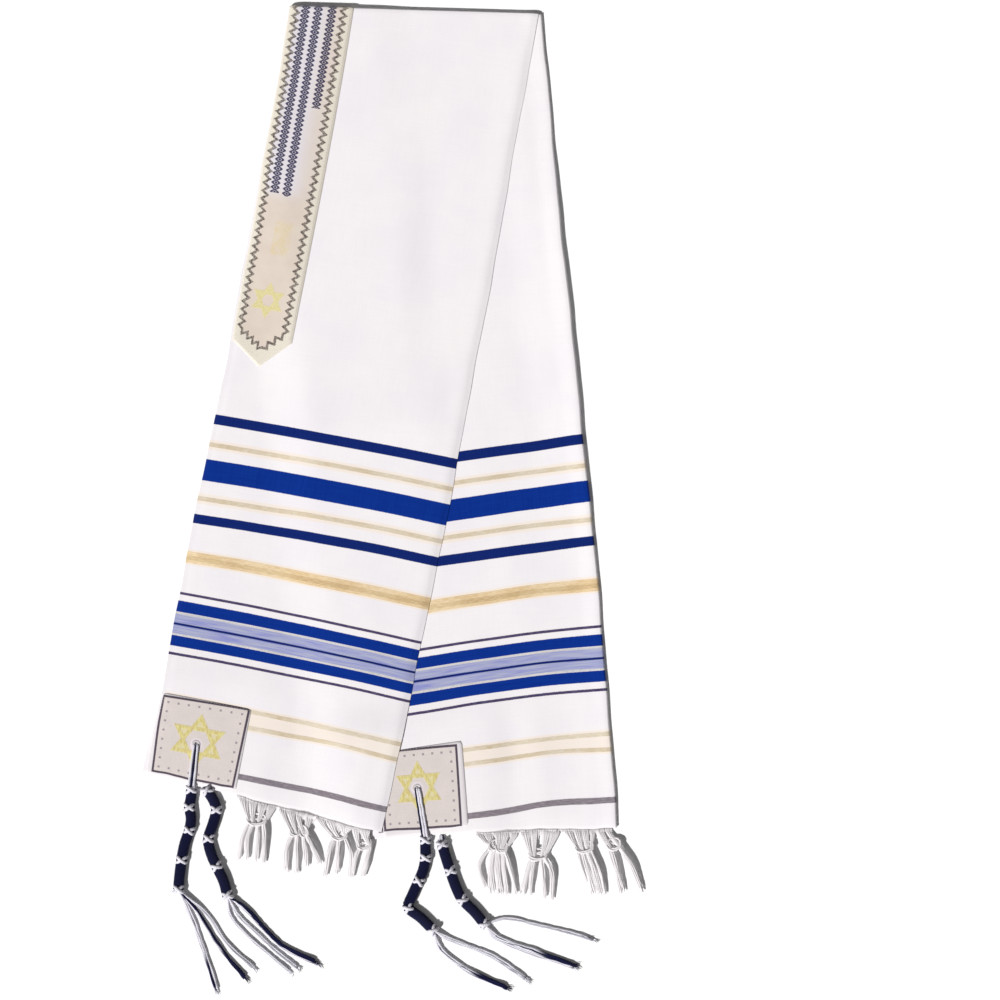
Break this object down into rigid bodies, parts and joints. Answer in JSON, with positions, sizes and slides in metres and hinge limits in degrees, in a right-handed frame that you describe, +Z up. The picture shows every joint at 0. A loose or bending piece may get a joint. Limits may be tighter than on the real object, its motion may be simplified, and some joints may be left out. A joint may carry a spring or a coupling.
{
  "type": "tallit prayer shawl",
  "caption": "Long narrow prayer shawl folded in layers and laid flat, with woven stripes, neckband, corner patches, knotted fringe and wound corner tassels.",
  "frame": {"origin": "middle of the shawl's bounding box, on the surface that it lies on", "axes": "+Y up the folded shawl, from its fringe to the fold across its middle; +X to the right, towards the lengthwise fold; +Z up, out of the surface"},
  "size_m": [0.5264, 1.0372, 0.0101],
  "materials": {
    "striped_cloth": "white plain-woven cloth with woven blue, gold, violet and grey stripes",
    "neckband_fabric": "cream woven band with a dark zigzag border and plain ornament",
    "patch_fabric": "beige-grey woven patch with a dark line, dots and a gold star",
    "fringe_yarn": "white loosely twisted yarn, knotted in bunches",
    "tassel_cord": "navy and white twisted cord, wound and knotted"
  },
  "bodies": {
    "root": {"cloth_front_leaf": "striped_cloth", "cloth_back_leaf": "striped_cloth", "neckband_front": "neckband_fabric", "neckband_back": "neckband_fabric", "corner_front_upper": "patch_fabric", "corner_front_under": "patch_fabric", "corner_back_upper": "patch_fabric", "corner_back_under": "patch_fabric", "fringe_front_upper": "fringe_yarn", "fringe_front_under": "fringe_yarn", "fringe_back_upper": "fringe_yarn", "fringe_back_under": "fringe_yarn", "tassel_front_upper": "tassel_cord", "tassel_front_under": "tassel_cord", "tassel_back_upper": "tassel_cord", "tassel_back_under": "tassel_cord"}
  },
  "joints": []
}
